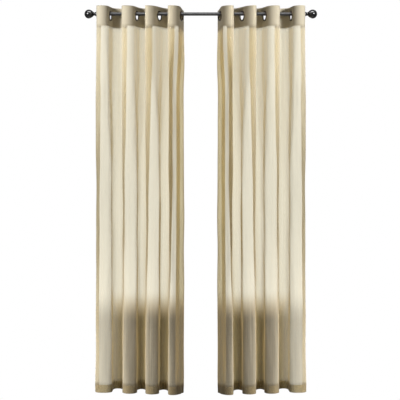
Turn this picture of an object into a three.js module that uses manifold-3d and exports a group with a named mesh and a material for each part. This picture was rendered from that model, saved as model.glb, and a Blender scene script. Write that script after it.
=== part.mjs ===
// A pair of sheer voile curtains with eyelet headings, hanging in folds from one rod with ball finials.
// Each curtain is one sheet that weaves to and fro across the rod, through its eyelets.
import * as THREE from "three";
import { mergeVertices } from "three/addons/utils/BufferGeometryUtils.js";
import Module from "manifold-3d";

// Driving dimensions, in millimetres and degrees. X runs along the rod, Y goes to the back and Z is up.
// The origin is the middle of the rod's axis.
const GAP = 0.3;
const ROD = { radius: 9.5, halfLength: 581.6, sides: 24 };
const CLOTH = {
  thickness: 1.6,
  eyeletSpacing: 178,
  outerTail: 75,
  innerTail: 76,
  topEdge: 39,
  innerCornerDroop: 17,
  outerHem: -2101,
  innerHem: -2115,
};
const EYELET = {
  boreRadius: 21,
  rimRadius: 29,
  faceRadius: 26.5,
  lipRadius: 22.5,
  faceHalf: 3.2,
  lipHalf: 2.8,
  grooveRadius: 23.4,
  grooveHalf: 1.2,
  clothHole: 24,
  sides: 16,
};
const FINIAL = {
  mouth: 574.5,
  socketRadius: 9.85,
  socketDepth: 7.5,
  ballRadius: 24.7,
  ballCentre: 46.5,
  ballSeat: 52,
  sides: 20,
  ballSteps: 8,
};
// The turned neck of a finial, from the collar's mouth out through the waist to the cup that holds the ball.
const FINIAL_NECK = [
  { along: 0, radius: 12.2 },
  { along: 4, radius: 12.5 },
  { along: 8.5, radius: 11.3 },
  { along: 13.5, radius: 8.8 },
  { along: 16, radius: 8.3 },
  { along: 20, radius: 10.3 },
  { along: 25.5, radius: 15.6 },
  { along: 28.6, radius: 18.6 },
  { along: 30.2, radius: 18.6 },
];

// One row for each place where the left-hand cloth crosses the rod's line, from its outer edge inwards.
// x is where it crosses, and lean is how far the crossing turns towards the middle as it goes back.
// The cloth is read at three heights: the heading, the middle of the drop and the hem.
const CROSSINGS = [
  { headX: -567, headLean: 13, middleX: -574, middleLean: 15, footX: -582, footLean: 13 },
  { headX: -501, headLean: 12, middleX: -497, middleLean: -4, footX: -494, footLean: -5 },
  { headX: -424, headLean: 18, middleX: -429, middleLean: 10, footX: -437, footLean: 2 },
  { headX: -354.5, headLean: 20, middleX: -354, middleLean: -5, footX: -356, footLean: -5 },
  { headX: -288, headLean: 24, middleX: -297, middleLean: 13, footX: -311, footLean: 2 },
  { headX: -229.5, headLean: 27, middleX: -228, middleLean: -11, footX: -234, footLean: -6 },
  { headX: -164, headLean: 24, middleX: -163, middleLean: 10, footX: -183, footLean: 3 },
  { headX: -106, headLean: 20, middleX: -104, middleLean: 48, footX: -99, footLean: 25 },
];
// Length of cloth that stays straight on each side of a crossing.
const STRAIGHT = { head: 31, middle: 18, foot: 16 };
// Each free side of the cloth stays straight behind its last crossing, and then turns.
// A positive turn goes towards the middle.
const OUTER_TAIL_STRAIGHT = { head: 33, middle: 8, foot: 8 };
const OUTER_TAIL_TURN = { head: -30, middle: -20, foot: -18 };
const INNER_TAIL_STRAIGHT = { head: 33, middle: 6, foot: 6 };
const INNER_TAIL_TURN = { head: -110, middle: -132, foot: -115 };
// Heights between which the folds of the heading loosen into those of the middle, and those into the hem's.
const LOOSENING = { headEnds: -180, middleStarts: -900, middleEnds: -900, footStarts: -2108 };
// Both free sides and the innermost fold, which has the last two crossings, loosen right below the heading.
const EDGE_LOOSENING = { ...LOOSENING, headEnds: -69, middleStarts: -400 };
const INNERMOST_CROSSINGS = 2;
// Heights of the sheet's rows of facets, from the top edge to the hem. The first two bound the heading.
const ROW_HEIGHTS = [39, -69, -180, -330, -494, -690, -900, -1250, -1650, -2108];
const LOOP_STEPS = 7;
const LENGTH_TRIALS = 30;
const TAIL_STEPS = 8;

const radians = THREE.MathUtils.degToRad;
const eyeletHeight = ROD.radius + GAP - EYELET.boreRadius;

const voile = new THREE.MeshStandardMaterial({
  name: "voile",
  color: 0xd8cba8,
  roughness: 0.9,
  transparent: true,
  opacity: 0.6,
  side: THREE.DoubleSide,
});
const bronzedRing = new THREE.MeshStandardMaterial({
  name: "bronzed_ring",
  color: 0x3a3128,
  roughness: 0.4,
  metalness: 0.8,
});
const blackRod = new THREE.MeshStandardMaterial({
  name: "black_rod",
  color: 0x1d1d1f,
  roughness: 0.35,
  metalness: 0.6,
});
const blackGloss = new THREE.MeshStandardMaterial({
  name: "black_gloss",
  color: 0x0d0d0e,
  roughness: 0.12,
});

// A size of the folds at height z, on its way from the heading's to the middle's and on to the hem's.
function hangAt(z, { head, middle, foot }, heights = LOOSENING) {
  const loose = 1 - THREE.MathUtils.smoothstep(z, heights.middleStarts, heights.headEnds);
  const low = 1 - THREE.MathUtils.smoothstep(z, heights.footStarts, heights.middleEnds);
  return THREE.MathUtils.lerp(THREE.MathUtils.lerp(head, middle, loose), foot, low);
}

function crossingsAt(z) {
  return CROSSINGS.map((row, i) => {
    const heights = i < CROSSINGS.length - INNERMOST_CROSSINGS ? LOOSENING : EDGE_LOOSENING;
    const lean = hangAt(z, { head: row.headLean, middle: row.middleLean, foot: row.footLean }, heights);
    return {
      x: hangAt(z, { head: row.headX, middle: row.middleX, foot: row.footX }, heights),
      lean: radians(lean),
    };
  });
}

// The loop that joins two crossings, in front of the rod (side -1) or behind it (side 1).
// It leaves each crossing straight, and bulges until the cloth between the eyelets has its length.
function loopBetween(first, second, side, straight) {
  const reach = ({ x, lean }, distance) =>
    new THREE.Vector2(x + side * distance * Math.sin(lean), distance * Math.cos(lean));
  const bulge = (handle) =>
    new THREE.CubicBezierCurve(
      reach(first, straight),
      reach(first, straight + handle),
      reach(second, straight + handle),
      reach(second, straight),
    );
  const wanted = CLOTH.eyeletSpacing - 2 * straight;
  let [short, long] = [0, CLOTH.eyeletSpacing];
  for (let trial = 0; trial < LENGTH_TRIALS; trial++) {
    const handle = (short + long) / 2;
    if (bulge(handle).getLength() < wanted) short = handle;
    else long = handle;
  }
  const curve = bulge(short);
  return Array.from({ length: LOOP_STEPS + 1 }, (_, step) => {
    const point = curve.getPoint(step / LOOP_STEPS);
    const tangent = curve.getTangent(step / LOOP_STEPS);
    return { x: point.x, y: side * point.y, tangent: [tangent.x, side * tangent.y] };
  });
}

// The free end of the cloth behind the rod, from its crossing out to the side edge.
// It turns most where it leaves its straight stretch, and hardly at all at the edge.
function tailFrom({ x, lean }, length, straight, turnDegrees) {
  const stride = (length - straight) / TAIL_STEPS;
  const headingAt = (step) => {
    const share = step / TAIL_STEPS;
    return lean + radians(turnDegrees) * share * (2 - share);
  };
  const place = new THREE.Vector2(Math.sin(lean), Math.cos(lean)).multiplyScalar(straight);
  return Array.from({ length: TAIL_STEPS + 1 }, (_, step) => {
    if (step > 0) {
      const way = headingAt(step - 0.5);
      place.add(new THREE.Vector2(Math.sin(way), Math.cos(way)).multiplyScalar(stride));
    }
    const now = headingAt(step);
    return { x: x + place.x, y: place.y, tangent: [Math.sin(now), Math.cos(now)] };
  });
}

// One level section through the left-hand cloth, from its outer side edge to its inner one.
function sectionAt(z) {
  const crossings = crossingsAt(z);
  const straight = hangAt(z, STRAIGHT);
  const outerStraight = hangAt(z, OUTER_TAIL_STRAIGHT, EDGE_LOOSENING);
  const outerTurn = hangAt(z, OUTER_TAIL_TURN, EDGE_LOOSENING);
  const outerTail = tailFrom(crossings[0], CLOTH.outerTail, outerStraight, outerTurn).reverse();
  outerTail.forEach((point) => {
    point.tangent = [-point.tangent[0], -point.tangent[1]];
  });
  const loops = crossings
    .slice(1)
    .map((crossing, i) => loopBetween(crossings[i], crossing, i % 2 ? 1 : -1, straight));
  const innerStraight = hangAt(z, INNER_TAIL_STRAIGHT, EDGE_LOOSENING);
  const innerTurn = hangAt(z, INNER_TAIL_TURN, EDGE_LOOSENING);
  const innerTail = tailFrom(crossings.at(-1), CLOTH.innerTail, innerStraight, innerTurn);
  return [...outerTail, ...loops.flat(), ...innerTail];
}

// A closed geometry from vertex positions and triangles, turned inside out where it is mirrored.
function closedGeometry(positions, triangles, mirrored) {
  const geometry = new THREE.BufferGeometry();
  geometry.setAttribute("position", new THREE.Float32BufferAttribute(positions, 3));
  geometry.setIndex(mirrored ? triangles.map(([a, b, c]) => [a, c, b]).flat() : triangles.flat());
  return geometry;
}

// The hung sheet: its front and back skins follow the sections, and strips close the four edges.
function sheetGeometry(hand) {
  const rows = ROW_HEIGHTS.map(sectionAt);
  const columns = rows[0].length;
  const innerTailStart = columns - TAIL_STEPS - 1;
  const half = CLOTH.thickness / 2;
  const drop = CLOTH.topEdge - ROW_HEIGHTS.at(-1);
  const positions = [];
  for (const skin of [half, -half]) {
    rows.forEach((section, r) => {
      section.forEach(({ x, y, tangent }, c) => {
        const hem = THREE.MathUtils.lerp(CLOTH.outerHem, CLOTH.innerHem, c / (columns - 1));
        const fall = (CLOTH.topEdge - ROW_HEIGHTS[r]) / drop;
        const droop = c >= innerTailStart ? CLOTH.innerCornerDroop : 0;
        const z = THREE.MathUtils.lerp(CLOTH.topEdge - droop, hem, fall);
        positions.push(-hand * (x + skin * tangent[1]), y - skin * tangent[0], z);
      });
    });
  }
  const at = (skin, r, c) => skin * rows.length * columns + r * columns + c;
  const triangles = [];
  const quad = (a, b, c, d) => triangles.push([a, b, c], [a, c, d]);
  for (let r = 0; r + 1 < rows.length; r++) {
    for (let c = 0; c + 1 < columns; c++) {
      quad(at(0, r, c), at(0, r, c + 1), at(0, r + 1, c + 1), at(0, r + 1, c));
      quad(at(1, r, c), at(1, r + 1, c), at(1, r + 1, c + 1), at(1, r, c + 1));
    }
    const edge = columns - 1;
    quad(at(0, r, 0), at(0, r + 1, 0), at(1, r + 1, 0), at(1, r, 0));
    quad(at(0, r, edge), at(1, r, edge), at(1, r + 1, edge), at(0, r + 1, edge));
  }
  const foot = rows.length - 1;
  for (let c = 0; c + 1 < columns; c++) {
    quad(at(0, 0, c), at(1, 0, c), at(1, 0, c + 1), at(0, 0, c + 1));
    quad(at(0, foot, c), at(0, foot, c + 1), at(1, foot, c + 1), at(1, foot, c));
  }
  return closedGeometry(positions, triangles, hand < 0);
}

const wasm = await Module();
wasm.setup();

// A closed three.js geometry as a solid that can be cut.
function solidFrom(geometry) {
  const bare = geometry.clone();
  bare.deleteAttribute("normal");
  bare.deleteAttribute("uv");
  const merged = mergeVertices(bare, 1e-3);
  return new wasm.Manifold(
    new wasm.Mesh({
      numProp: 3,
      vertProperties: merged.attributes.position.array,
      triVerts: new Uint32Array(merged.index.array),
    }),
  );
}

function geometryFrom(solid) {
  const { vertProperties, triVerts } = solid.getMesh();
  const geometry = new THREE.BufferGeometry();
  geometry.setAttribute("position", new THREE.BufferAttribute(vertProperties, 3));
  geometry.setIndex(new THREE.BufferAttribute(triVerts, 1));
  geometry.computeVertexNormals();
  return geometry;
}

// Place and turn of each eyelet, with its axis square to the cloth where it crosses the rod.
function eyeletPlaces(hand) {
  return crossingsAt(CLOTH.topEdge).map(({ x, lean }) => ({
    position: new THREE.Vector3(-hand * x, 0, eyeletHeight),
    turn: Math.PI / 2 + hand * lean,
  }));
}

// One curtain: the sheet, with a round hole cut for each eyelet.
function curtain(name, hand) {
  const punch = new THREE.CylinderGeometry(
    EYELET.clothHole,
    EYELET.clothHole,
    EYELET.clothHole,
    EYELET.sides,
  );
  let solid = solidFrom(sheetGeometry(hand));
  for (const { position, turn } of eyeletPlaces(hand)) {
    const hole = punch.clone().rotateZ(turn).translate(...position.toArray());
    solid = solid.subtract(solidFrom(hole));
  }
  const mesh = new THREE.Mesh(geometryFrom(solid), voile);
  mesh.name = name;
  return mesh;
}

// The eyelet ring, domed on both faces, with a groove round its rim that grips the cloth.
function eyeletGeometry() {
  const e = EYELET;
  const front = [
    [e.rimRadius, e.grooveHalf],
    [e.faceRadius, e.faceHalf],
    [e.lipRadius, e.lipHalf],
  ];
  const back = front.map(([r, along]) => [r, -along]).reverse();
  const groove = [
    [e.grooveRadius, -e.grooveHalf],
    [e.grooveRadius, e.grooveHalf],
  ];
  const profile = [...front, [e.boreRadius, 0], ...back, ...groove, front[0]];
  return new THREE.LatheGeometry(
    profile.map(([r, along]) => new THREE.Vector2(r, along)),
    e.sides,
  );
}

function eyelets(prefix, hand) {
  const ring = eyeletGeometry();
  return eyeletPlaces(hand).map(({ position, turn }, i) => {
    const mesh = new THREE.Mesh(ring, bronzedRing);
    mesh.name = `${prefix}_eyelet_${i + 1}`;
    mesh.position.copy(position);
    mesh.rotation.z = turn;
    return mesh;
  });
}

function rod() {
  const { radius, halfLength, sides } = ROD;
  const mesh = new THREE.Mesh(
    new THREE.CylinderGeometry(radius, radius, 2 * halfLength, sides),
    blackRod,
  );
  mesh.name = "rod";
  mesh.rotation.z = Math.PI / 2;
  return mesh;
}

// A turned finial: a collar that slips over the rod's end, a waist, a cup and the ball that sits in it.
function finialGeometry() {
  const f = FINIAL;
  const socket = [
    { along: f.socketDepth, radius: 0 },
    { along: f.socketDepth, radius: f.socketRadius },
    { along: 0, radius: f.socketRadius },
  ];
  const ball = Array.from({ length: f.ballSteps + 1 }, (_, step) => {
    const angle = THREE.MathUtils.lerp(radians(f.ballSeat), Math.PI, step / f.ballSteps);
    const radius = step < f.ballSteps ? f.ballRadius * Math.sin(angle) : 0;
    return { along: f.ballCentre - f.ballRadius * Math.cos(angle), radius };
  });
  const profile = [...socket, ...FINIAL_NECK, ...ball];
  return new THREE.LatheGeometry(
    profile.map(({ along, radius }) => new THREE.Vector2(radius, along)),
    f.sides,
  );
}

function finial(name, hand) {
  const mesh = new THREE.Mesh(finialGeometry(), blackGloss);
  mesh.name = name;
  mesh.position.x = hand * FINIAL.mouth;
  mesh.rotation.z = (-hand * Math.PI) / 2;
  return mesh;
}

const pair = new THREE.Group();
pair.name = "voile_curtain_pair";
for (const [prefix, hand] of [["left", -1], ["right", 1]]) {
  pair.add(curtain(`${prefix}_panel`, hand), ...eyelets(prefix, hand));
  pair.add(finial(`${prefix}_finial`, hand));
}
pair.add(rod());

export default pair;
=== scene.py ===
"""A pair of sheer voile curtains with eyelet headings, hung on one rod with ball finials."""

import math
from collections import namedtuple

import bpy
import numpy as np
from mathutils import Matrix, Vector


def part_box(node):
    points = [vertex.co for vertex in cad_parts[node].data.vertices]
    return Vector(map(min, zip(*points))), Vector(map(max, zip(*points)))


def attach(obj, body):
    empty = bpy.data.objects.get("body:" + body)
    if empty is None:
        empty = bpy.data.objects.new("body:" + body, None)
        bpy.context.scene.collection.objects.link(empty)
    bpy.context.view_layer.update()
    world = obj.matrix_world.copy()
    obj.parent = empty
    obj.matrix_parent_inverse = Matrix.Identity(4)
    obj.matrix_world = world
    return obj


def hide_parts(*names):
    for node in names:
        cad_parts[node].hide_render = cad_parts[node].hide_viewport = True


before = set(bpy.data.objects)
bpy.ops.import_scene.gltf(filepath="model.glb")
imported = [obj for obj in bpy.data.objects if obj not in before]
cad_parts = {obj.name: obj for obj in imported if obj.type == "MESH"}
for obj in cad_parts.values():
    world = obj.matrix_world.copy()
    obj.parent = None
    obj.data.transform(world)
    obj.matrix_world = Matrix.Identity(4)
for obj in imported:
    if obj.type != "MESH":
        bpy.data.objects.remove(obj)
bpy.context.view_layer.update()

# The voile panels
# Each curtain is one width of thin plain-woven voile in warm beige. All four sides are turned twice and
# machined down, and the deep turning at the top makes the heading, which crosses the rod eight times.

EYELET_SPACING = 0.1780
OUTER_TAIL = 0.075
INNER_TAIL = 0.076
CLOTH_WIDTH = OUTER_TAIL + 7 * EYELET_SPACING + INNER_TAIL
TOP_EDGE = float(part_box("left_panel")[1][2])
OUTER_HEM = -2.101
INNER_HEM = -2.115
CORNER_DROOP = 0.017
DROP = TOP_EDGE - (OUTER_HEM + INNER_HEM) / 2
HEADING = 0.108
FOOT_HEM = 0.044
SIDE_HEM = 0.020
SEAM_INSET = 0.0022
PLY_GAP = 0.00022
HEADING_FIRM = 0.85
# Share of painted shade over the heading: how far its colours are darkened to stand in for shade.
HEADING_PAINTED_SHADE = 0.8

Crossing = namedtuple("Crossing", "head_x head_lean middle_x middle_lean foot_x foot_lean")
CROSSINGS = [
    Crossing(-0.5670, 13, -0.574, 15, -0.582, 13),
    Crossing(-0.5010, 12, -0.497, -4, -0.494, -5),
    Crossing(-0.4240, 18, -0.429, 10, -0.437, 2),
    Crossing(-0.3545, 20, -0.354, -5, -0.356, -5),
    Crossing(-0.2880, 24, -0.297, 13, -0.311, 2),
    Crossing(-0.2295, 27, -0.228, -11, -0.234, -6),
    Crossing(-0.1640, 24, -0.163, 10, -0.183, 3),
    Crossing(-0.1060, 20, -0.104, 48, -0.099, 25),
]
Stretch = namedtuple("Stretch", "head middle foot")
STRAIGHT = Stretch(0.031, 0.018, 0.016)
OUTER_TAIL_STRAIGHT = Stretch(0.033, 0.008, 0.008)
OUTER_TAIL_TURN = Stretch(-30, -20, -18)
INNER_TAIL_STRAIGHT = Stretch(0.033, 0.006, 0.006)
INNER_TAIL_TURN = Stretch(-110, -132, -115)
HEAD_ENDS = -0.180
MIDDLE_STARTS = -0.900
MIDDLE_ENDS = -0.900
FOOT_STARTS = -2.108
EDGE_LOOSENING = {"head_ends": -0.069, "middle_starts": -0.400}
INNERMOST_CROSSINGS = 2
LENGTH_TRIALS = 30
HAIR = 1e-6


def eased(value, start, end):
    """A smooth step from 0 at start to 1 at end."""
    share = np.clip((value - start) / (end - start), 0, 1)
    return share * share * (3 - 2 * share)


def hang(heights, head, middle, foot, head_ends=HEAD_ENDS, middle_starts=MIDDLE_STARTS):
    """A size of the folds at each height, from the heading's through the middle's to the hem's."""
    upper = head + (middle - head) * eased(heights, head_ends, middle_starts)
    return upper + (foot - upper) * eased(heights, MIDDLE_ENDS, FOOT_STARTS)


def bulge(corners, count=40):
    """A row of points on the curve that four control points give, for every height at once."""
    share = np.linspace(0, 1, count)[:, None]
    weights = [(1 - share) ** 3, 3 * share * (1 - share) ** 2, 3 * share**2 * (1 - share), share**3]
    return sum(weight * corner[:, None, :] for weight, corner in zip(weights, corners))


def run_length(points):
    return np.linalg.norm(np.diff(points, axis=1), axis=2).sum(axis=1)


def loop_between(first, second, side, straight):
    """The loop from one crossing to the next: straight, then bulging until the cloth keeps its length."""

    def reach(crossing, distance):
        x, lean = crossing
        return np.stack([x + side * distance * np.sin(lean), side * distance * np.cos(lean)], axis=1)

    def trial(handle):
        ends = [reach(first, straight), reach(first, straight + handle)]
        ends += [reach(second, straight + handle), reach(second, straight)]
        return bulge(ends)

    short = np.zeros_like(straight)
    long = np.full_like(straight, EYELET_SPACING)
    for _ in range(LENGTH_TRIALS):
        handle = (short + long) / 2
        slack = run_length(trial(handle)) < EYELET_SPACING - 2 * straight
        short = np.where(slack, handle, short)
        long = np.where(slack, long, handle)
    return trial(short)


def tail_from(crossing, length, straight, turn_degrees, count=16):
    """The free end of the cloth behind its last crossing, which turns most where it stops being straight."""
    x, lean, straight, turn = (value[:, None] for value in (*crossing, straight, np.radians(turn_degrees)))
    share = (np.arange(count) + 0.5) / count
    way = lean + turn * share * (2 - share)
    stride = (length - straight) / count
    along = np.cumsum(np.hstack([x + straight * np.sin(lean), stride * np.sin(way)]), axis=1)
    back = np.cumsum(np.hstack([straight * np.cos(lean), stride * np.cos(way)]), axis=1)
    return np.stack([along, back], axis=2)


def fold_sections(heights):
    """Level sections through the left-hand cloth, one polyline for each height."""
    crossings = []
    for c in CROSSINGS:
        loosening = EDGE_LOOSENING if c in CROSSINGS[-INNERMOST_CROSSINGS:] else {}
        x = hang(heights, c.head_x, c.middle_x, c.foot_x, **loosening)
        lean = hang(heights, c.head_lean, c.middle_lean, c.foot_lean, **loosening)
        crossings.append((x, np.radians(lean)))
    straight = hang(heights, *STRAIGHT)
    outer_straight = hang(heights, *OUTER_TAIL_STRAIGHT, **EDGE_LOOSENING)
    outer_turn = hang(heights, *OUTER_TAIL_TURN, **EDGE_LOOSENING)
    inner_straight = hang(heights, *INNER_TAIL_STRAIGHT, **EDGE_LOOSENING)
    inner_turn = hang(heights, *INNER_TAIL_TURN, **EDGE_LOOSENING)
    stretches = [tail_from(crossings[0], OUTER_TAIL, outer_straight, outer_turn)[:, ::-1]]
    for i in range(len(crossings) - 1):
        side = 1 if i % 2 else -1
        stretches.append(loop_between(crossings[i], crossings[i + 1], side, straight))
    stretches.append(tail_from(crossings[-1], INNER_TAIL, inner_straight, inner_turn))
    return np.concatenate(stretches, axis=1)


def on_folds(along, down):
    """Places on the left-hand cloth's folds, a row for each distance down from the top edge."""
    sections = fold_sections(TOP_EDGE - np.asarray(down))
    steps = np.linalg.norm(np.diff(sections, axis=1), axis=2)
    runs = np.concatenate([np.zeros((len(steps), 1)), np.cumsum(steps, axis=1)], axis=1)
    return np.stack(
        [
            [np.interp(along * run[-1] / CLOTH_WIDTH, run, line[:, k]) for k in range(2)]
            for line, run in zip(sections, runs)
        ]
    ).transpose(0, 2, 1)


Crease = namedtuple("Crease", "along slant top bottom width depth")
CREASES = [
    Crease(0.118, 0.002, 0.13, 2.06, 0.006, 0.0030),
    Crease(0.158, -0.006, 0.60, 2.00, 0.008, -0.0024),
    Crease(0.196, 0.004, 0.16, 0.90, 0.007, 0.0022),
    Crease(0.334, 0.008, 0.40, 1.95, 0.009, 0.0026),
    Crease(0.472, 0.003, 0.80, 2.08, 0.007, 0.0030),
    Crease(0.512, -0.010, 0.15, 1.30, 0.006, -0.0024),
    Crease(0.548, 0.005, 0.90, 2.05, 0.009, 0.0026),
    Crease(0.690, -0.004, 0.20, 1.70, 0.008, -0.0028),
    Crease(0.822, 0.006, 0.14, 1.00, 0.006, 0.0026),
    Crease(0.866, -0.005, 1.10, 2.09, 0.008, -0.0030),
    Crease(0.905, 0.003, 0.30, 1.60, 0.007, 0.0022),
    Crease(1.046, 0.007, 0.50, 2.00, 0.009, 0.0028),
    Crease(1.178, -0.003, 0.13, 1.20, 0.006, 0.0024),
    Crease(1.214, 0.009, 0.95, 2.08, 0.008, -0.0030),
    Crease(1.252, -0.006, 0.25, 1.50, 0.007, 0.0024),
]
CREASE_FADE = 0.25
Wave = namedtuple("Wave", "height across fall wobble")
WAVES = [
    Wave(0.0016, 0.190, 0.83, 3),
    Wave(0.0009, 0.083, -0.47, 0),
    Wave(0.0005, 0.041, 0.29, 0),
]
WOBBLE_RATE = 2.1
WAVES_FULL = 0.5
FOOT_PUCKER_REACH = 0.016
HEADING_PUCKER_REACH = 0.014
HEADING_PUCKER_SHARE = 0.6
SIDE_RIPPLE_REACH = 0.010


def close_to(value, place, reach):
    """A soft hump that is 1 at a place and dies away over its reach."""
    return np.exp(-(((value - place) / reach) ** 2))


def uneven_wave(place, height, length, wander, rate):
    """A row of small waves whose spacing wanders."""
    return height * np.sin(2 * math.pi * place / length + wander * np.sin(place * rate))


def creased(across, fall):
    """The main creases: soft ridges, and troughs where the depth is negative, that fade out at both ends."""
    lift = np.zeros_like(across)
    for crease in CREASES:
        middle = crease.along + crease.slant * (fall - crease.top)
        fade = eased(fall, crease.top, crease.top + CREASE_FADE)
        fade *= eased(fall, crease.bottom, crease.bottom - CREASE_FADE)
        lift -= crease.depth * fade * close_to(across, middle, crease.width)
    return lift


def sway(along, down):
    """Unevenness of the hang: the creases, slow waves down the folds, and the seams' pucker."""
    across, fall = np.meshgrid(along, down)
    loose = eased(fall, HEADING, WAVES_FULL)
    waves = np.zeros_like(across)
    for wave in WAVES:
        turns = across / wave.across + fall / wave.fall
        waves += wave.height * np.sin(2 * math.pi * turns + wave.wobble * np.sin(fall * WOBBLE_RATE))
    pucker = uneven_wave(across, height=0.0007, length=0.0155, wander=2.3, rate=61)
    at_seams = close_to(fall, DROP - FOOT_HEM, FOOT_PUCKER_REACH)
    at_seams += HEADING_PUCKER_SHARE * close_to(fall, HEADING, HEADING_PUCKER_REACH) * (fall > HEADING)
    ripple = uneven_wave(fall, height=0.0004, length=0.017, wander=1.9, rate=37)
    at_sides = close_to(across, SIDE_HEM, SIDE_RIPPLE_REACH)
    at_sides += close_to(across, CLOTH_WIDTH - SIDE_HEM, SIDE_RIPPLE_REACH)
    return creased(across, fall) + loose * waves + pucker * at_seams + loose * ripple * at_sides


def cloth_places(along, down, lift):
    """Points of the left-hand cloth, lifted towards its wrong side by lift metres."""
    along = np.asarray(along, float)
    down = np.asarray(down, float)
    feeler = 0.0008
    middle = on_folds(along, down)
    tangent = on_folds(along + feeler, down) - on_folds(along - feeler, down)
    tangent /= np.linalg.norm(tangent, axis=2, keepdims=True)
    wrong_side = np.stack([-tangent[..., 1], tangent[..., 0]], axis=2)
    flat = middle + wrong_side * (lift + sway(along, down))[..., None]
    hem = OUTER_HEM + (INNER_HEM - OUTER_HEM) * along / CLOTH_WIDTH
    last_eyelet = CLOTH_WIDTH - INNER_TAIL
    drooping = eased(along, last_eyelet - STRAIGHT.head, last_eyelet + INNER_TAIL_STRAIGHT.head)
    top = TOP_EDGE - CORNER_DROOP * drooping
    height = top - down[:, None] * (top - hem) / DROP
    return np.concatenate([flat, height[..., None]], axis=2)


def turned_twice(stops, first_hem, last_hem):
    """Stops across a cloth with a double turning at both ends: place, ply and running length."""
    first = stops[stops <= first_hem + HAIR]
    last = stops[stops >= stops[-1] - last_hem - HAIR]
    stretches = [(first, 1), (first[::-1], 2), (stops, 0), (last[::-1], 2), (last, 1)]
    place = np.concatenate([stretch for stretch, _ in stretches])
    ply = np.concatenate([np.full(len(stretch), number) for stretch, number in stretches])
    run = np.concatenate([[0], np.cumsum(np.abs(np.diff(place)))])
    return place, ply, run


eyelet_stops = OUTER_TAIL + EYELET_SPACING * np.arange(len(CROSSINGS))
EYELET_HEIGHT = float(np.mean([corner[2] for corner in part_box("left_eyelet_1")]))
CLOTH_HOLE = 0.0256
COLUMN_STEP = 0.0052
CLOSEST_COLUMNS = 0.0008
EYELET_COLUMNS = 23
EYELET_COLUMNS_REACH = 0.033
CLEAR_OF_EYELET = 0.036
HEM_COLUMN = 0.004
HEADING_ROW = 0.003
BODY_ROWS = 112
FOOT_ROWS = 7
# Width of the band of painted shadow along the heading seam.
SEAM_SHADOW_BAND = 0.0035


def across_stops():
    """Columns of the sheet, close together round the eyelets and at the side hems."""
    round_eyelet = np.linspace(-EYELET_COLUMNS_REACH, EYELET_COLUMNS_REACH, EYELET_COLUMNS)
    near = np.concatenate([stop + round_eyelet for stop in eyelet_stops])
    far = np.arange(0, CLOTH_WIDTH, COLUMN_STEP)
    far = far[np.abs(far[:, None] - eyelet_stops).min(axis=1) > CLEAR_OF_EYELET]
    hems = [0, HEM_COLUMN, SIDE_HEM, CLOTH_WIDTH - SIDE_HEM, CLOTH_WIDTH - HEM_COLUMN, CLOTH_WIDTH]
    stops = np.unique(np.concatenate([near, far, hems]).round(5))
    return stops[np.concatenate([[True], np.diff(stops) > CLOSEST_COLUMNS])]


down_stops = np.concatenate(
    [
        np.arange(0, HEADING, HEADING_ROW),
        np.linspace(HEADING, DROP - FOOT_HEM, BODY_ROWS),
        np.linspace(DROP - FOOT_HEM, DROP, FOOT_ROWS)[1:],
    ]
)


def panel_object(name, hand):
    """One curtain as an open sheet with its turnings, and a hole through every ply at each eyelet."""
    across, across_ply, across_run = turned_twice(across_stops(), SIDE_HEM, SIDE_HEM)
    down, down_ply, down_run = turned_twice(down_stops, HEADING, FOOT_HEM)
    lift = PLY_GAP * (across_ply[None, :] + 3 * down_ply[:, None])
    places = cloth_places(across, down, lift)
    places[..., 0] *= -hand
    rows, columns = places.shape[:2]
    corner = np.arange(rows * columns).reshape(rows, columns)
    quads = np.stack([corner[:-1, :-1], corner[1:, :-1], corner[1:, 1:], corner[:-1, 1:]], axis=2)
    middle_across = (across[:-1] + across[1:]) / 2
    middle_height = (places[:-1, :-1, 2] + places[1:, 1:, 2]) / 2
    nearest = np.abs(middle_across[:, None] - eyelet_stops).min(axis=1)
    holes = np.hypot(nearest[None, :], middle_height - EYELET_HEIGHT) < CLOTH_HOLE
    quads = quads[~holes]
    if hand > 0:
        quads = quads[:, ::-1]
    mesh = bpy.data.meshes.new(name)
    mesh.from_pydata(places.reshape(-1, 3).tolist(), [], quads.tolist())
    threads = np.stack(np.meshgrid(across_run, down_run), axis=2).reshape(-1, 2)
    layer = mesh.uv_layers.new(name="threads")
    layer.data.foreach_set("uv", threads[quads.reshape(-1)].reshape(-1))
    firm = mesh.attributes.new("firm", "FLOAT", "POINT")
    firm.data.foreach_set("value", np.repeat(HEADING_FIRM * (down <= HEADING + HAIR), columns))
    # Painted shade: a point attribute that darkens the cloth's colours. It is full on the foot hem, full on a
    # narrow band at the heading seam that stands in for the seam's shadow, and partial over the heading.
    painted_shade = mesh.attributes.new("painted_shade", "FLOAT", "POINT")
    at_foot = down >= DROP - FOOT_HEM - HAIR
    painted_seam_shadow = np.abs(down - HEADING + SEAM_INSET) < SEAM_SHADOW_BAND
    at_head = HEADING_PAINTED_SHADE * (down <= HEADING + HAIR)
    painted_shade.data.foreach_set("value", np.repeat(np.maximum(at_foot | painted_seam_shadow, at_head), columns))
    mesh.shade_smooth()
    panel = bpy.data.objects.new(name, mesh)
    bpy.context.scene.collection.objects.link(panel)
    return panel


def add_node(tree, kind, **settings):
    node = tree.nodes.new(kind)
    for name, value in settings.items():
        setattr(node, name, value)
    return node


def calc(tree, operation, *values):
    """A Math node on sockets or plain numbers, returning its result."""
    node = add_node(tree, "ShaderNodeMath", operation=operation)
    for socket, value in zip(node.inputs, values):
        if isinstance(value, bpy.types.NodeSocket):
            tree.links.new(value, socket)
        else:
            socket.default_value = value
    return node.outputs[0]


def new_group(name, inputs, outputs):
    """An empty shader group with named sockets, and its two end nodes."""
    tree = bpy.data.node_groups.new(name, "ShaderNodeTree")
    for label, kind in inputs:
        tree.interface.new_socket(label, in_out="INPUT", socket_type=kind)
    for label, kind in outputs:
        tree.interface.new_socket(label, in_out="OUTPUT", socket_type=kind)
    return tree, add_node(tree, "NodeGroupInput").outputs, add_node(tree, "NodeGroupOutput").inputs


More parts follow.
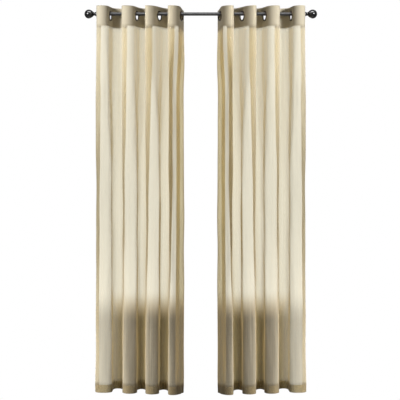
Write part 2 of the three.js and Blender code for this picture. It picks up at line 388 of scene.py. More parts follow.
def plain_weave_group():
    """Fine crossing threads, the slubs where a thread runs thick, and streaks where the warp is set close."""
    tree, given, result = new_group(
        "Plain weave",
        [("Threads", "NodeSocketVector"), ("Pitch", "NodeSocketFloat"), ("Slub", "NodeSocketFloat")],
        [("Cover", "NodeSocketFloat"), ("Tone", "NodeSocketFloat"), ("Streak", "NodeSocketFloat")],
    )
    parts = add_node(tree, "ShaderNodeSeparateXYZ")
    tree.links.new(given["Threads"], parts.inputs[0])

    def uneven(times_per_metre):
        """Noise about zero, drawn out along the threads."""
        spread = add_node(tree, "ShaderNodeMapping")
        spread.inputs["Scale"].default_value = times_per_metre
        tree.links.new(given["Threads"], spread.inputs["Vector"])
        noise = add_node(tree, "ShaderNodeTexNoise")
        noise.inputs["Scale"].default_value = 1
        noise.inputs["Detail"].default_value = 2
        tree.links.new(spread.outputs[0], noise.inputs["Vector"])
        return calc(tree, "SUBTRACT", noise.outputs[0], 0.5)

    yarns = []
    for way in "XY":
        phase = calc(tree, "DIVIDE", parts.outputs[way], given["Pitch"])
        wave = calc(tree, "COSINE", calc(tree, "MULTIPLY", phase, 2 * math.pi))
        yarns.append(calc(tree, "MULTIPLY_ADD", wave, 0.5, 0.5))
    slub = calc(tree, "ADD", uneven((420, 7, 1)), uneven((6, 380, 1)))
    tree.links.new(calc(tree, "MAXIMUM", *yarns), result["Cover"])
    tree.links.new(calc(tree, "MULTIPLY", slub, given["Slub"]), result["Tone"])
    tree.links.new(uneven((85, 0.9, 1)), result["Streak"])
    return tree


YARN_PITCH = 0.00062
SLUB = 0.35
GLOW_SHARE = 0.25
FIRM_GLOW_LOSS = 0.28
OPEN_SHARE = 0.742
YARN_COVER = 0.16
UNEVEN_COVER = 0.25
EDGE_ON = 0.04


def voile_material():
    """Sheer cloth: yarns that scatter and pass light, and gaps that close as the cloth turns edge-on."""
    material = bpy.data.materials.new("voile")
    material.use_nodes = True
    tree = material.node_tree
    tree.nodes.clear()
    threads = add_node(tree, "ShaderNodeUVMap", uv_map="threads")
    weave = add_node(tree, "ShaderNodeGroup", node_tree=plain_weave_group())
    weave.inputs["Pitch"].default_value = YARN_PITCH
    weave.inputs["Slub"].default_value = SLUB
    tree.links.new(threads.outputs[0], weave.inputs["Threads"])
    # Painted shade: where the point attribute of painted shade is set, the face and glow colours are
    # multiplied down to a darker, browner tone.
    painted_shade = add_node(tree, "ShaderNodeAttribute", attribute_name="painted_shade")
    shades = {}
    for name, thin, thick in [
        ("face", (0.86, 0.81, 0.68, 1), (0.78, 0.72, 0.58, 1)),
        ("glow", (0.84, 0.63, 0.24, 1), (0.75, 0.54, 0.18, 1)),
    ]:
        shade = add_node(tree, "ShaderNodeMix", data_type="RGBA")
        shade.inputs["A"].default_value = thin
        shade.inputs["B"].default_value = thick
        tree.links.new(calc(tree, "ADD", weave.outputs["Tone"], 0.5), shade.inputs["Factor"])
        with_painted_shade = add_node(tree, "ShaderNodeMix", data_type="RGBA", blend_type="MULTIPLY")
        with_painted_shade.inputs["B"].default_value = (0.55, 0.52, 0.46, 1)
        tree.links.new(shade.outputs["Result"], with_painted_shade.inputs["A"])
        tree.links.new(painted_shade.outputs["Fac"], with_painted_shade.inputs["Factor"])
        shades[name] = with_painted_shade.outputs["Result"]
    bump = add_node(tree, "ShaderNodeBump")
    bump.inputs["Strength"].default_value = 0.25
    bump.inputs["Distance"].default_value = 0.0002
    tree.links.new(weave.outputs["Cover"], bump.inputs["Height"])
    face = add_node(tree, "ShaderNodeBsdfPrincipled")
    face.inputs["Roughness"].default_value = 0.8
    face.inputs["Specular IOR Level"].default_value = 0.2
    face.inputs["Sheen Weight"].default_value = 0.15
    tree.links.new(shades["face"], face.inputs["Base Color"])
    tree.links.new(bump.outputs[0], face.inputs["Normal"])
    glow = add_node(tree, "ShaderNodeBsdfTranslucent")
    tree.links.new(shades["glow"], glow.inputs["Color"])
    yarn = add_node(tree, "ShaderNodeMixShader")
    firm = add_node(tree, "ShaderNodeAttribute", attribute_name="firm")
    passed_on = calc(tree, "MULTIPLY_ADD", firm.outputs["Fac"], -FIRM_GLOW_LOSS, GLOW_SHARE)
    tree.links.new(passed_on, yarn.inputs["Fac"])
    tree.links.new(face.outputs[0], yarn.inputs[1])
    tree.links.new(glow.outputs[0], yarn.inputs[2])
    gaps = add_node(tree, "ShaderNodeBsdfTransparent")
    gaps.inputs["Color"].default_value = (1.0, 0.955, 0.79, 1)
    slant = add_node(tree, "ShaderNodeLayerWeight")
    slant.inputs["Blend"].default_value = 0.5
    open_share = calc(tree, "MULTIPLY_ADD", weave.outputs["Cover"], -YARN_COVER, OPEN_SHARE)
    for unevenness in ("Tone", "Streak"):
        closed = calc(tree, "MULTIPLY", weave.outputs[unevenness], UNEVEN_COVER)
        open_share = calc(tree, "SUBTRACT", open_share, closed)
    squareness = calc(tree, "MAXIMUM", calc(tree, "SUBTRACT", 1, slant.outputs["Facing"]), EDGE_ON)
    seen_open = calc(tree, "POWER", open_share, calc(tree, "DIVIDE", 1, squareness))
    cover = calc(tree, "MAXIMUM", calc(tree, "SUBTRACT", 1, seen_open), firm.outputs["Fac"])
    cloth = add_node(tree, "ShaderNodeMixShader")
    tree.links.new(cover, cloth.inputs["Fac"])
    tree.links.new(gaps.outputs[0], cloth.inputs[1])
    tree.links.new(yarn.outputs[0], cloth.inputs[2])
    output = add_node(tree, "ShaderNodeOutputMaterial")
    tree.links.new(cloth.outputs[0], output.inputs["Surface"])
    return material


HANDS = {"left": -1, "right": 1}
voile = voile_material()
panels = {}
for side, hand in HANDS.items():
    panels[side] = panel_object(f"{side}_voile", hand)
    panels[side].data.materials.append(voile)
    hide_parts(f"{side}_panel")
    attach(panels[side], "root")

# The machine stitching
# Beige thread locks down every turning: one row under the heading, one along the foot hem and one down
# each side hem. Each stitch is a short thread that sinks into the cloth at both ends.

STITCH_PITCH = 0.0036
STITCH_LENGTH = 0.0027
THREAD = 0.00042
LEVEL_STEP = 0.003
LEVEL_END_GAP = 0.002
UPRIGHT_STEP = 0.006
UPRIGHT_END_GAP = 0.004


def seam_runs(hand):
    """Paths of the rows of stitches on a panel's right side."""
    level = np.arange(LEVEL_STEP, CLOTH_WIDTH - LEVEL_END_GAP, LEVEL_STEP)
    upright = np.arange(UPRIGHT_STEP, DROP - UPRIGHT_END_GAP, UPRIGHT_STEP)
    near_edge = SIDE_HEM - SEAM_INSET
    runs = [
        cloth_places(level, [HEADING - SEAM_INSET], -THREAD / 4)[0],
        cloth_places(level, [DROP - FOOT_HEM + SEAM_INSET], -THREAD / 4)[0],
        cloth_places([near_edge], upright, -THREAD / 4)[:, 0],
        cloth_places([CLOTH_WIDTH - near_edge], upright, -THREAD / 4)[:, 0],
    ]
    return [run * (-hand, 1, 1) for run in runs]


def curve_object(name, runs):
    curve = bpy.data.curves.new(name, "CURVE")
    curve.dimensions = "3D"
    for run in runs:
        spline = curve.splines.new("POLY")
        spline.points.add(len(run) - 1)
        spline.points.foreach_set("co", np.c_[run, np.ones(len(run))].reshape(-1))
    path = bpy.data.objects.new(name, curve)
    bpy.context.scene.collection.objects.link(path)
    return path


def new_shaper(name, inputs):
    """An empty Geometry Nodes tree with named inputs, and its two end nodes."""
    tree = bpy.data.node_groups.new(name, "GeometryNodeTree")
    tree.interface.new_socket("Geometry", in_out="INPUT", socket_type="NodeSocketGeometry")
    for label, kind in inputs:
        tree.interface.new_socket(label, in_out="INPUT", socket_type=kind)
    tree.interface.new_socket("Geometry", in_out="OUTPUT", socket_type="NodeSocketGeometry")
    return tree, add_node(tree, "NodeGroupInput").outputs, add_node(tree, "NodeGroupOutput").inputs


def shaped(base, tree, values, name):
    """The plain mesh object that a Geometry Nodes tree makes of a base object, which is then removed."""
    modifier = base.modifiers.new("shaper", "NODES")
    modifier.node_group = tree
    for socket in tree.interface.items_tree:
        if socket.in_out == "INPUT" and socket.name in values:
            modifier[socket.identifier] = values[socket.name]
    ready = base.evaluated_get(bpy.context.evaluated_depsgraph_get())
    mesh = bpy.data.meshes.new_from_object(ready)
    mesh.name = name
    bpy.data.objects.remove(base)
    piece = bpy.data.objects.new(name, mesh)
    bpy.context.scene.collection.objects.link(piece)
    return piece


def stitch_shaper():
    tree, given, result = new_shaper(
        "Stitch row",
        [
            ("Pitch", "NodeSocketFloat"),
            ("Length", "NodeSocketFloat"),
            ("Thread", "NodeSocketFloat"),
            ("Finish", "NodeSocketMaterial"),
        ],
    )
    points = add_node(tree, "GeometryNodeCurveToPoints", mode="LENGTH")
    tree.links.new(given["Geometry"], points.inputs["Curve"])
    tree.links.new(given["Pitch"], points.inputs["Length"])
    aim = add_node(tree, "FunctionNodeAlignRotationToVector", axis="X")
    tree.links.new(points.outputs["Tangent"], aim.inputs["Vector"])
    bead = add_node(tree, "GeometryNodeMeshIcoSphere")
    bead.inputs["Radius"].default_value = 0.5
    bead.inputs["Subdivisions"].default_value = 1
    size = add_node(tree, "ShaderNodeCombineXYZ")
    tree.links.new(given["Length"], size.inputs["X"])
    tree.links.new(given["Thread"], size.inputs["Y"])
    tree.links.new(given["Thread"], size.inputs["Z"])
    stitch = add_node(tree, "GeometryNodeTransform")
    tree.links.new(bead.outputs["Mesh"], stitch.inputs["Geometry"])
    tree.links.new(size.outputs[0], stitch.inputs["Scale"])
    row = add_node(tree, "GeometryNodeInstanceOnPoints")
    tree.links.new(points.outputs["Points"], row.inputs["Points"])
    tree.links.new(stitch.outputs[0], row.inputs["Instance"])
    tree.links.new(aim.outputs[0], row.inputs["Rotation"])
    real = add_node(tree, "GeometryNodeRealizeInstances")
    tree.links.new(row.outputs[0], real.inputs[0])
    finish = add_node(tree, "GeometryNodeSetMaterial")
    tree.links.new(real.outputs[0], finish.inputs["Geometry"])
    tree.links.new(given["Finish"], finish.inputs["Material"])
    tree.links.new(finish.outputs[0], result["Geometry"])
    return tree


def thread_material():
    material = bpy.data.materials.new("sewing_thread")
    material.use_nodes = True
    tree = material.node_tree
    surface = tree.nodes["Principled BSDF"]
    place = add_node(tree, "ShaderNodeTexCoord")
    noise = add_node(tree, "ShaderNodeTexNoise")
    noise.inputs["Scale"].default_value = 160
    tree.links.new(place.outputs["Object"], noise.inputs["Vector"])
    shade = add_node(tree, "ShaderNodeMix", data_type="RGBA")
    shade.inputs["A"].default_value = (0.50, 0.42, 0.29, 1)
    shade.inputs["B"].default_value = (0.66, 0.58, 0.43, 1)
    tree.links.new(noise.outputs[0], shade.inputs["Factor"])
    tree.links.new(shade.outputs["Result"], surface.inputs["Base Color"])
    surface.inputs["Roughness"].default_value = 0.6
    surface.inputs["Sheen Weight"].default_value = 0.2
    return material


stitch_row = stitch_shaper()
sewing_thread = thread_material()
stitching = {}
for side, hand in HANDS.items():
    stitching[side] = shaped(
        curve_object(f"{side}_seams", seam_runs(hand)),
        stitch_row,
        {"Pitch": STITCH_PITCH, "Length": STITCH_LENGTH, "Thread": THREAD, "Finish": sewing_thread},
        f"{side}_stitching",
    )
    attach(stitching[side], "root")

# The eyelets
# Each is a dark bronzed ring in two halves that snap together through the heading: a domed flange that
# grips the cloth, and a rolled lip round the bore that slides on the rod.

BORE_RADIUS = 0.0210
RIM_RADIUS = 0.0290
FLANGE_THICK = 0.0050
LIP_WIDE = 0.0028
LIP_THICK = 0.0062
FLANGE_SETBACK = 0.0008
HOOP_STEPS = 72
SECTION_STEPS = 18


def ring_shaper():
    """Rings at the given points, each square to the vector that its point carries."""
    sizes = ["Bore", "Rim", "Flange thick", "Lip wide", "Lip thick"]
    tree, given, result = new_shaper(
        "Eyelet row", [(label, "NodeSocketFloat") for label in sizes] + [("Finish", "NodeSocketMaterial")]
    )

    def hoop(inner, outer, thick):
        """A hoop of elliptical section between two radii."""
        middle = calc(tree, "MULTIPLY", calc(tree, "ADD", inner, outer), 0.5)
        circle = add_node(tree, "GeometryNodeCurvePrimitiveCircle")
        circle.inputs["Resolution"].default_value = HOOP_STEPS
        tree.links.new(middle, circle.inputs["Radius"])
        section = add_node(tree, "GeometryNodeCurvePrimitiveCircle")
        section.inputs["Resolution"].default_value = SECTION_STEPS
        section.inputs["Radius"].default_value = 0.5
        size = add_node(tree, "ShaderNodeCombineXYZ")
        tree.links.new(calc(tree, "SUBTRACT", outer, inner), size.inputs["X"])
        tree.links.new(thick, size.inputs["Y"])
        size.inputs["Z"].default_value = 1
        oval = add_node(tree, "GeometryNodeTransform")
        tree.links.new(section.outputs["Curve"], oval.inputs["Geometry"])
        tree.links.new(size.outputs[0], oval.inputs["Scale"])
        swept = add_node(tree, "GeometryNodeCurveToMesh")
        tree.links.new(circle.outputs["Curve"], swept.inputs["Curve"])
        tree.links.new(oval.outputs[0], swept.inputs["Profile Curve"])
        return swept.outputs[0]

    both = add_node(tree, "GeometryNodeJoinGeometry")
    lip_outer = calc(tree, "ADD", given["Bore"], given["Lip wide"])
    tree.links.new(hoop(given["Bore"], lip_outer, given["Lip thick"]), both.inputs[0])
    flange_inner = calc(tree, "ADD", given["Bore"], FLANGE_SETBACK)
    tree.links.new(hoop(flange_inner, given["Rim"], given["Flange thick"]), both.inputs[0])
    facing = add_node(tree, "GeometryNodeInputNamedAttribute", data_type="FLOAT_VECTOR")
    facing.inputs["Name"].default_value = "facing"
    aim = add_node(tree, "FunctionNodeAlignRotationToVector", axis="Z")
    tree.links.new(facing.outputs[0], aim.inputs["Vector"])
    points = add_node(tree, "GeometryNodeMeshToPoints")
    tree.links.new(given["Geometry"], points.inputs["Mesh"])
    row = add_node(tree, "GeometryNodeInstanceOnPoints")
    tree.links.new(points.outputs[0], row.inputs["Points"])
    tree.links.new(both.outputs[0], row.inputs["Instance"])
    tree.links.new(aim.outputs[0], row.inputs["Rotation"])
    real = add_node(tree, "GeometryNodeRealizeInstances")
    tree.links.new(row.outputs[0], real.inputs[0])
    finish = add_node(tree, "GeometryNodeSetMaterial")
    tree.links.new(real.outputs[0], finish.inputs["Geometry"])
    tree.links.new(given["Finish"], finish.inputs["Material"])
    tree.links.new(finish.outputs[0], result["Geometry"])
    return tree


def eyelet_points(side, hand):
    """A mesh of bare points at a panel's eyelets, each with the way that its ring faces."""
    mesh = bpy.data.meshes.new(f"{side}_eyelet_points")
    places = [np.mean(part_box(f"{side}_eyelet_{i + 1}"), axis=0).tolist() for i in range(len(CROSSINGS))]
    mesh.from_pydata(places, [], [])
    facing = mesh.attributes.new("facing", "FLOAT_VECTOR", "POINT")
    for value, crossing in zip(facing.data, CROSSINGS):
        lean = math.radians(crossing.head_lean)
        value.vector = (-hand * math.cos(lean), -math.sin(lean), 0)
    points = bpy.data.objects.new(mesh.name, mesh)
    bpy.context.scene.collection.objects.link(points)
    return points


def fine_wear_group():
    """Cloudy handling marks and hairline scratches, as a change of roughness and of height."""
    tree, given, result = new_group(
        "Fine wear",
        [("Place", "NodeSocketVector"), ("Scale", "NodeSocketFloat")],
        [("Clouds", "NodeSocketFloat"), ("Height", "NodeSocketFloat")],
    )
    clouds = add_node(tree, "ShaderNodeTexNoise")
    clouds.inputs["Detail"].default_value = 4
    tree.links.new(given["Place"], clouds.inputs["Vector"])
    tree.links.new(given["Scale"], clouds.inputs["Scale"])
    tree.links.new(clouds.outputs[0], result["Clouds"])
    hairs = add_node(tree, "ShaderNodeTexNoise")
    hairs.inputs["Detail"].default_value = 6
    hairs.inputs["Distortion"].default_value = 1.5
    tree.links.new(given["Place"], hairs.inputs["Vector"])
    tree.links.new(calc(tree, "MULTIPLY", given["Scale"], 14), hairs.inputs["Scale"])
    tree.links.new(hairs.outputs[0], result["Height"])
    return tree


fine_wear = fine_wear_group()


def hard_finish(name, low, high, rough, scale, bump_strength, **plain):
    """A hard surface whose colour and gloss vary a little with wear."""
    material = bpy.data.materials.new(name)
    material.use_nodes = True
    tree = material.node_tree
    surface = tree.nodes["Principled BSDF"]
    for socket, value in plain.items():
        surface.inputs[socket.replace("_", " ")].default_value = value
    place = add_node(tree, "ShaderNodeTexCoord")
    wear = add_node(tree, "ShaderNodeGroup", node_tree=fine_wear)
    wear.inputs["Scale"].default_value = scale
    tree.links.new(place.outputs["Object"], wear.inputs["Place"])
    shade = add_node(tree, "ShaderNodeMix", data_type="RGBA")
    shade.inputs["A"].default_value = low
    shade.inputs["B"].default_value = high
    tree.links.new(wear.outputs["Clouds"], shade.inputs["Factor"])
    tree.links.new(shade.outputs["Result"], surface.inputs["Base Color"])
    gloss = add_node(tree, "ShaderNodeMapRange")
    gloss.inputs["To Min"].default_value = rough[0]
    gloss.inputs["To Max"].default_value = rough[1]
    tree.links.new(wear.outputs["Clouds"], gloss.inputs["Value"])
    tree.links.new(gloss.outputs[0], surface.inputs["Roughness"])
    bump = add_node(tree, "ShaderNodeBump")
    bump.inputs["Strength"].default_value = bump_strength
    bump.inputs["Distance"].default_value = 0.0003
    tree.links.new(wear.outputs["Height"], bump.inputs["Height"])
    tree.links.new(bump.outputs[0], surface.inputs["Normal"])
    return material


bronzed = hard_finish(
    "bronzed_ring",
    low=(0.020, 0.014, 0.009, 1),
    high=(0.050, 0.036, 0.024, 1),
    rough=(0.22, 0.38),
    scale=70,
    bump_strength=0.03,
    Metallic=0.7,
)
ring_row = ring_shaper()
eyelets = {}
for side, hand in HANDS.items():
    eyelets[side] = shaped(
        eyelet_points(side, hand),
        ring_row,
        {
            "Bore": BORE_RADIUS,
            "Rim": RIM_RADIUS,
            "Flange thick": FLANGE_THICK,
            "Lip wide": LIP_WIDE,
            "Lip thick": LIP_THICK,
            "Finish": bronzed,
        },
        f"{side}_eyelets",
    )
    eyelets[side].data.shade_smooth()
    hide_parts(*[f"{side}_eyelet_{i + 1}" for i in range(len(CROSSINGS))])
    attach(eyelets[side], "root")

# The rod
# A straight steel tube in satin black paint, which runs through all the eyelets and ends inside the
# finials' collars.

ROD_RADIUS = 0.0095
ROD_SIDES = 64
ROD_END_ROUND = 0.0008
ROD_RINGS = 40
ROD_RINGS_INSET = 0.01


def turned_mesh(name, profile, sides):
    """A solid of revolution about X from (along, radius) pairs that start and end on the axis."""
    along, radius = np.array(profile, float).T
    angle = np.linspace(0, 2 * math.pi, sides, endpoint=False)
    rings = np.stack(
        [
            np.repeat(along[1:-1, None], sides, axis=1),
            radius[1:-1, None] * np.cos(angle),
            radius[1:-1, None] * np.sin(angle),
        ],
        axis=2,
    ).reshape(-1, 3)
    poles = [(along[0], 0, 0), (along[-1], 0, 0)]
    first_pole = len(rings)
    faces = []
    for side in range(sides):
        after = (side + 1) % sides
        faces.append((first_pole, after, side))
        for ring in range(len(along) - 3):
            low, high = ring * sides, (ring + 1) * sides
            faces.append((low + side, low + after, high + after, high + side))
        last = (len(along) - 3) * sides
        faces.append((first_pole + 1, last + side, last + after))
    mesh = bpy.data.meshes.new(name)
    mesh.from_pydata(np.concatenate([rings, poles]).tolist(), [], faces)
    mesh.shade_smooth()
    piece = bpy.data.objects.new(name, mesh)
    bpy.context.scene.collection.objects.link(piece)
    return piece


rod_start, rod_end = (float(corner[0]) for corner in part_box("rod"))
rod_rings = np.linspace(rod_start + ROD_RINGS_INSET, rod_end - ROD_RINGS_INSET, ROD_RINGS)
rod = turned_mesh(
    "black_tube",
    [
        (rod_start, 0),
        (rod_start, ROD_RADIUS - ROD_END_ROUND),
        (rod_start + ROD_END_ROUND, ROD_RADIUS),
        *[(x, ROD_RADIUS) for x in rod_rings],
        (rod_end - ROD_END_ROUND, ROD_RADIUS),
        (rod_end, ROD_RADIUS - ROD_END_ROUND),
        (rod_end, 0),
    ],
    ROD_SIDES,
)
rod.data.materials.append(
    hard_finish(
        "black_rod",
        low=(0.008, 0.008, 0.009, 1),
        high=(0.018, 0.018, 0.019, 1),
        rough=(0.28, 0.42),
        scale=45,
        bump_strength=0.05,
    )
)
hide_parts("rod")
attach(rod, "root")

# The finials
# A turned and lacquered ball on each end of the rod. It sits in a shallow cup on a waisted neck, whose
# collar slips over the tube.

FINIAL_SIDES = 72
BALL_RADIUS = 0.0247
BALL_CENTRE = 0.0465
BALL_SEAT = 50
BALL_STEPS = 40
NECK_ROUNDINGS = 3
SOCKET_RADIUS = 0.00985
SOCKET_DEPTH = 0.0075
NECK = [
    (0.0000, 0.0122),
    (0.0012, 0.0126),
    (0.0040, 0.0126),
    (0.0085, 0.0113),
    (0.0135, 0.0088),
    (0.0160, 0.0083),
    (0.0200, 0.0102),
    (0.0255, 0.0156),
    (0.0284, 0.0184),
    (0.0294, 0.0188),
    (0.0303, 0.0184),
]


def rounded(points, times):
    """A line with its corners cut again and again, which keeps its two ends."""
    line = np.array(points, float)
    for _ in range(times):
        near = 0.75 * line[:-1] + 0.25 * line[1:]
        far = 0.25 * line[:-1] + 0.75 * line[1:]
        cut = np.stack([near, far], axis=1).reshape(-1, 2)
        line = np.concatenate([line[:1], cut, line[-1:]])
    return line


def finial_profile():
    """The finial's (along, radius) pairs, from the bottom of its socket round to the ball's tip."""
    ball = [
        (BALL_CENTRE - BALL_RADIUS * math.cos(angle), BALL_RADIUS * math.sin(angle))
        for angle in np.linspace(math.radians(BALL_SEAT), math.pi, BALL_STEPS)
    ]
    socket = [(SOCKET_DEPTH, 0), (SOCKET_DEPTH, SOCKET_RADIUS), (0, SOCKET_RADIUS)]
    return np.array([*socket, *rounded(NECK, NECK_ROUNDINGS), *ball[:-1], (ball[-1][0], 0)])


lacquer = hard_finish(
    "black_gloss",
    low=(0.003, 0.003, 0.0034, 1),
    high=(0.007, 0.007, 0.0078, 1),
    rough=(0.16, 0.26),
    scale=30,
    bump_strength=0.015,
    Coat_Weight=0.15,
    Coat_Roughness=0.06,
)
finials = {}
for side, hand in HANDS.items():
    inner_end = float(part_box(f"{side}_finial")[1 if hand < 0 else 0][0])
    profile = finial_profile()
    profile[:, 0] = inner_end + hand * profile[:, 0]
    if hand < 0:
        profile = profile[::-1]
    finials[side] = turned_mesh(f"{side}_ball_finial", profile, FINIAL_SIDES)
    finials[side].data.materials.append(lacquer)
    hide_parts(f"{side}_finial")
    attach(finials[side], "root")

# The studio
# A pale floor that fades to white, and a white surround that is dim low down where it shows through the
# cloth. Soft lights reach each curtain's heading and foot from its outer side, with a faint one on the
# heading's inner folds. One more glows from behind, and a strip above shines on the hard pieces.

FLOOR_DROP = 2.26
FLOOR_BACK = 0.4
FLOOR_BACK_FADE = 0.4
FLOOR_FADES = (0.9, 2.4)
FLOOR_REACH = 3
floor_mesh = bpy.data.meshes.new("floor")
floor_corners = [(-FLOOR_REACH, -FLOOR_REACH), (FLOOR_REACH, -FLOOR_REACH)]
floor_corners += [(FLOOR_REACH, FLOOR_BACK), (-FLOOR_REACH, FLOOR_BACK)]
floor_mesh.from_pydata([(x, y, -FLOOR_DROP) for x, y in floor_corners], [], [(0, 1, 2, 3)])
floor = bpy.data.objects.new("floor", floor_mesh)
bpy.context.scene.collection.objects.link(floor)


def ramp(tree, value, low, high):
    """A smooth step from 0 at low to 1 at high."""
    node = add_node(tree, "ShaderNodeMapRange", interpolation_type="SMOOTHSTEP")
    node.inputs["From Min"].default_value = low
    node.inputs["From Max"].default_value = high
    tree.links.new(value, node.inputs["Value"])
    return node.outputs[0]


def floor_material():
    """A pale floor whose margin the camera sees as white, and which other rays pass through there."""
    material = bpy.data.materials.new("pale_floor")
    material.use_nodes = True
    tree = material.node_tree
    pale = tree.nodes["Principled BSDF"]
    pale.inputs["Base Color"].default_value = (0.90, 0.89, 0.87, 1)
    pale.inputs["Roughness"].default_value = 0.7
    pale.inputs["Emission Color"].default_value = (1, 0.99, 0.97, 1)
    pale.inputs["Emission Strength"].default_value = 0.55
    material.cycles.emission_sampling = "NONE"
    parts = add_node(tree, "ShaderNodeSeparateXYZ")
    tree.links.new(add_node(tree, "ShaderNodeTexCoord").outputs["Object"], parts.inputs[0])
    reach = calc(tree, "SQRT", calc(tree, "ADD", *[calc(tree, "POWER", parts.outputs[k], 2) for k in "XY"]))
    back = ramp(tree, parts.outputs["Y"], FLOOR_BACK - FLOOR_BACK_FADE, FLOOR_BACK)
    fade = calc(tree, "MAXIMUM", ramp(tree, reach, *FLOOR_FADES), back)
    margin = add_node(tree, "ShaderNodeMixShader")
    tree.links.new(add_node(tree, "ShaderNodeLightPath").outputs["Is Camera Ray"], margin.inputs["Fac"])
    tree.links.new(add_node(tree, "ShaderNodeBsdfTransparent").outputs[0], margin.inputs[1])
    tree.links.new(add_node(tree, "ShaderNodeEmission").outputs[0], margin.inputs[2])
    faded = add_node(tree, "ShaderNodeMixShader")
    tree.links.new(fade, faded.inputs["Fac"])
    tree.links.new(pale.outputs[0], faded.inputs[1])
    tree.links.new(margin.outputs[0], faded.inputs[2])
    tree.links.new(faded.outputs[0], tree.nodes["Material Output"].inputs["Surface"])
    return material


floor.data.materials.append(floor_material())
floor.visible_diffuse = False
floor.visible_transmission = False

SURROUND_FRONT = 0.15
SURROUND_FRONT_SEEN = 0.95
SURROUND_LOW = 0.04
SURROUND_LOW_SIDES = 0.44
SURROUND_MIDDLE = 1.02
SURROUND_HIGH = 0.89
SURROUND_GAIN = 0.2
LOW_COLOUR = (1, 0.80, 0.55, 1)
BEHIND_EDGE = (0.0, 0.5)
DIM_EDGE = (-0.137, -0.108)
STEEP_EDGE = (-0.36, -0.26)
HIGH_EDGE = (-0.05, 0.12)
SIDES_EDGE = (0.066, 0.080)
world = bpy.data.worlds.new("studio")
bpy.context.scene.world = world
world.use_nodes = True
surround = world.node_tree
surround.nodes.clear()

direction = add_node(surround, "ShaderNodeSeparateXYZ")
surround.links.new(add_node(surround, "ShaderNodeTexCoord").outputs["Generated"], direction.inputs[0])
behind = ramp(surround, direction.outputs["Y"], *BEHIND_EDGE)
above = ramp(surround, direction.outputs["Z"], *DIM_EDGE)
steep = calc(surround, "SUBTRACT", 1, ramp(surround, direction.outputs["Z"], *STEEP_EDGE))
above = calc(surround, "MAXIMUM", above, steep)
high = ramp(surround, direction.outputs["Z"], *HIGH_EDGE)
aside = ramp(surround, calc(surround, "ABSOLUTE", direction.outputs["X"]), *SIDES_EDGE)
low = calc(surround, "MULTIPLY_ADD", aside, SURROUND_LOW_SIDES - SURROUND_LOW, SURROUND_LOW)
back_light = calc(surround, "MULTIPLY_ADD", above, calc(surround, "SUBTRACT", SURROUND_MIDDLE, low), low)
back_light = calc(surround, "MULTIPLY_ADD", high, SURROUND_HIGH - SURROUND_MIDDLE, back_light)
ray = add_node(surround, "ShaderNodeLightPath")
gain = calc(surround, "MULTIPLY_ADD", ray.outputs["Is Camera Ray"], 1 - SURROUND_GAIN, SURROUND_GAIN)
back_light = calc(surround, "MULTIPLY", back_light, gain)
seen_front = SURROUND_FRONT_SEEN - SURROUND_FRONT
front_light = calc(surround, "MULTIPLY_ADD", ray.outputs["Is Camera Ray"], seen_front, SURROUND_FRONT)
extra = calc(surround, "MULTIPLY", behind, calc(surround, "SUBTRACT", back_light, front_light))
soft = add_node(surround, "ShaderNodeBackground")
surround.links.new(calc(surround, "ADD", extra, front_light), soft.inputs["Strength"])
tint = add_node(surround, "ShaderNodeMix", data_type="RGBA")
tint.inputs["A"].default_value = LOW_COLOUR
tint.inputs["B"].default_value = (1, 1, 1, 1)
surround.links.new(calc(surround, "MAXIMUM", above, aside), tint.inputs["Factor"])
surround.links.new(tint.outputs["Result"], soft.inputs["Color"])
seen = add_node(surround, "ShaderNodeBackground")
seen.inputs["Color"].default_value = (1, 1, 1, 1)
clear = calc(surround, "LESS_THAN", ray.outputs["Transparent Depth"], 0.5)
either = add_node(surround, "ShaderNodeMixShader")
surround.links.new(calc(surround, "MULTIPLY", ray.outputs["Is Camera Ray"], clear), either.inputs["Fac"])
surround.links.new(soft.outputs[0], either.inputs[1])
surround.links.new(seen.outputs[0], either.inputs[2])
surround.links.new(either.outputs[0], add_node(surround, "ShaderNodeOutputWorld").inputs["Surface"])


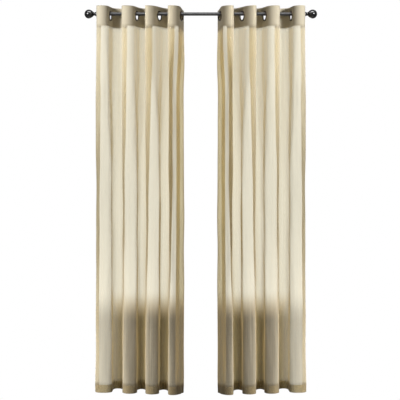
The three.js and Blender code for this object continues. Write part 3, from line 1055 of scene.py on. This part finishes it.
def soft_light(name, place, aim, size, power, colour=(1, 1, 1), spread=180, receivers=()):
    """An area light that the camera doesn't see, which can be kept to some pieces."""
    lamp = bpy.data.lights.new(name, "AREA")
    lamp.shape = "RECTANGLE"
    lamp.size, lamp.size_y = size
    lamp.energy = power
    lamp.color = colour
    lamp.spread = math.radians(spread)
    light = bpy.data.objects.new(name, lamp)
    bpy.context.scene.collection.objects.link(light)
    light.location = place
    way = np.array(aim) - np.array(place)
    light.rotation_euler = (
        math.atan2(math.hypot(way[0], way[1]), -way[2]),
        0,
        math.atan2(way[1], way[0]) - math.pi / 2,
    )
    light.visible_camera = False
    if receivers:
        lit = bpy.data.collections.new(f"{name}_lights")
        for piece in receivers:
            lit.objects.link(piece)
        light.light_linking.receiver_collection = lit
    return light


for side, hand in HANDS.items():
    own_side = [panels[side], stitching[side], eyelets[side], finials[side], rod]
    soft_light(
        f"{side}_foot_key",
        place=(hand * 2.1, -2.4, -1.75),
        aim=(hand * 0.56, 0, -2.05),
        size=(0.5, 0.5),
        power=6.4,
        colour=(1, 0.95, 0.86),
        spread=46,
        receivers=own_side,
    )
    soft_light(
        f"{side}_heading_key",
        place=(hand * 1.8, -2.1, 0.3),
        aim=(hand * 0.45, 0, -0.03),
        size=(0.5, 0.5),
        power=6.4,
        spread=46,
        receivers=own_side,
    )
    soft_light(
        f"{side}_heading_fill",
        place=(hand * -1.3, -1.2, 0.1),
        aim=(hand * 0.16, 0, -0.02),
        size=(0.5, 0.3),
        power=0.12,
        colour=(1, 0.90, 0.74),
        spread=16,
    )
    soft_light(
        f"{side}_edge_light",
        place=(hand * 2.4, -0.5, -1.75),
        aim=(hand * 0.5, 0, -1.85),
        size=(0.4, 0.5),
        power=0.6,
        spread=50,
    )
soft_light(
    "back_light",
    place=(0, 0.45, -0.6),
    aim=(0, 0, -0.6),
    size=(1.3, 1.3),
    power=5.2,
)
soft_light(
    "top_strip",
    place=(0, -0.9, 1.6),
    aim=(0, 0, 0),
    size=(2.4, 0.5),
    power=90,
    receivers=[rod, *finials.values(), *eyelets.values()],
)

CAMERA_DISTANCE = 6.3
CAMERA_DROP = 0.844
CAMERA_TILT = 1.715
CAMERA_ASIDE = -0.0042
LENS_MM = 101.7
lens = bpy.data.cameras.new("camera")
lens.lens = LENS_MM
lens.sensor_width = 36
camera = bpy.data.objects.new("camera", lens)
bpy.context.scene.collection.objects.link(camera)
camera.location = (CAMERA_ASIDE, -CAMERA_DISTANCE, -CAMERA_DROP)
camera.rotation_euler = (math.radians(90 - CAMERA_TILT), 0, 0)
bpy.context.scene.camera = camera
bpy.context.scene.view_settings.view_transform = "Standard"
bpy.context.scene.cycles.transparent_max_bounces = 32
